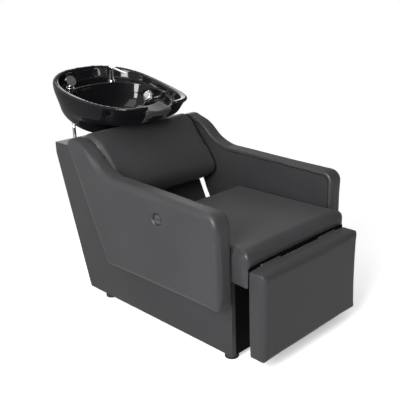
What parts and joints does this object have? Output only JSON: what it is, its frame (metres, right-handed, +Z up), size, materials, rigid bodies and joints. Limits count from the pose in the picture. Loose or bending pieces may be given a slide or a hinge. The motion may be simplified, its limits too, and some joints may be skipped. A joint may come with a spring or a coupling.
{
  "type": "hair washing bed",
  "caption": "Salon backwash unit: upholstered chair with winged arms, hinged lifting leg rest and a tilting black basin with mixer and hand shower",
  "frame": {"origin": "centre of the unit's footprint box on the floor", "axes": "X across the unit, Y from the leg rest to the basin, Z up"},
  "size_m": [0.7, 1.3156, 0.923],
  "materials": {
    "upholstery": "satin",
    "panel_cover": "satin",
    "wood": "matt",
    "basin": "high gloss",
    "neck": "satin",
    "chrome": "polished",
    "steel": "brushed",
    "black_metal": "satin",
    "rubber": "matt",
    "black_plastic": "satin",
    "grey_plastic": "satin",
    "shell_board": "satin"
  },
  "bodies": {
    "cabinet": {"arm_board_left": "wood", "arm_board_right": "wood", "arm_pad_left": "upholstery", "arm_pad_right": "upholstery", "axle_nut": "steel", "back_board": "wood", "back_cushion": "upholstery", "base_floor": "wood", "base_side_left": "shell_board", "base_side_right": "shell_board", "basin_stop": "rubber", "drain_outlet": "grey_plastic", "foot_front_left": "rubber", "foot_front_right": "rubber", "foot_rear_left": "rubber", "foot_rear_right": "rubber", "front_panel": "shell_board", "hinge_fixed_left": "steel", "hinge_fixed_right": "steel", "hinge_pin_left": "steel", "hinge_pin_right": "steel", "lift_rail": "black_metal", "lift_rear_pin": "steel", "power_inlet": "black_plastic", "rear_panel": "shell_board", "seat_cushion": "upholstery", "seat_frame": "shell_board", "shell_top": "shell_board", "shell_wall": "shell_board", "switch_bezel": "black_plastic", "switch_cup": "black_plastic", "tilt_axle": "steel", "tilt_pedestal": "black_metal"},
    "leg_rest": {"leg_board": "shell_board", "leg_cushion": "upholstery", "hinge_moving_left": "steel", "hinge_moving_right": "steel", "lift_lever": "black_metal"},
    "lift_motor": {"lift_body": "black_plastic"},
    "lift_ram": {"lift_rod": "steel", "lift_front_pin": "steel"},
    "key_up": {"button_up": "grey_plastic"},
    "key_down": {"button_down": "grey_plastic"},
    "basin": {"basin_bowl": "basin", "neck_rest": "neck", "waste_flange": "chrome", "waste_tail": "black_plastic", "tilt_bracket": "black_metal", "overflow_cover": "chrome", "mixer_body": "chrome", "shower_holder": "chrome", "drain_hose": "grey_plastic", "shower_hose": "chrome", "supply_hose_left": "steel", "supply_hose_right": "steel"},
    "mixer_handle": {"mixer_lever": "chrome"},
    "shower": {"hand_shower": "black_plastic", "shower_face": "chrome"},
    "basket": {"strainer": "steel"}
  },
  "joints": [
    {"name": "leg_rest_lift", "type": "hinge", "parent": "cabinet", "child": "leg_rest", "pos_m": [0, -0.593, 0.372], "axis": [-1, 0, 0], "range_deg": [0, 85]},
    {"name": "lift_swing", "type": "hinge", "parent": "cabinet", "child": "lift_motor", "pos_m": [0, -0.241, 0.2], "axis": [1, 0, 0], "range_deg": [0, 4.4]},
    {"name": "lift_stroke", "type": "slide", "parent": "lift_motor", "child": "lift_ram", "axis": [0, -0.9509, 0.3095], "range_m": [0, 0.125]},
    {"name": "basin_tilt", "type": "hinge", "parent": "cabinet", "child": "basin", "pos_m": [0, 0.47, 0.662], "axis": [-1, 0, 0], "range_deg": [0, 12], "deforming": ["drain_hose", "shower_hose", "supply_hose_left", "supply_hose_right"]},
    {"name": "button_up_press", "type": "slide", "parent": "cabinet", "child": "key_up", "axis": [1, 0, 0], "range_m": [0, 0.0015], "stiffness_N_per_m": 400},
    {"name": "button_down_press", "type": "slide", "parent": "cabinet", "child": "key_down", "axis": [1, 0, 0], "range_m": [0, 0.0015], "stiffness_N_per_m": 400},
    {"name": "mixer_lever_turn", "type": "hinge", "parent": "basin", "child": "mixer_handle", "pos_m": [0.098, 0.56029, 0.90275], "axis": [0, -0.2062, 0.9785], "range_deg": [-50, 50]},
    {"name": "hand_shower_pull", "type": "slide", "parent": "basin", "child": "shower", "axis": [0, -0.2062, 0.9785], "range_m": [0, 0.12]},
    {"name": "strainer_lift", "type": "slide", "parent": "basin", "child": "basket", "axis": [0, -0.2062, 0.9785], "range_m": [0, 0.06]}
  ],
  "couplings": [
    {"joint": "lift_swing", "follows": "leg_rest_lift", "ratio": 0.050706},
    {"joint": "lift_stroke", "follows": "leg_rest_lift", "m_per_rad": 0.083584}
  ]
}
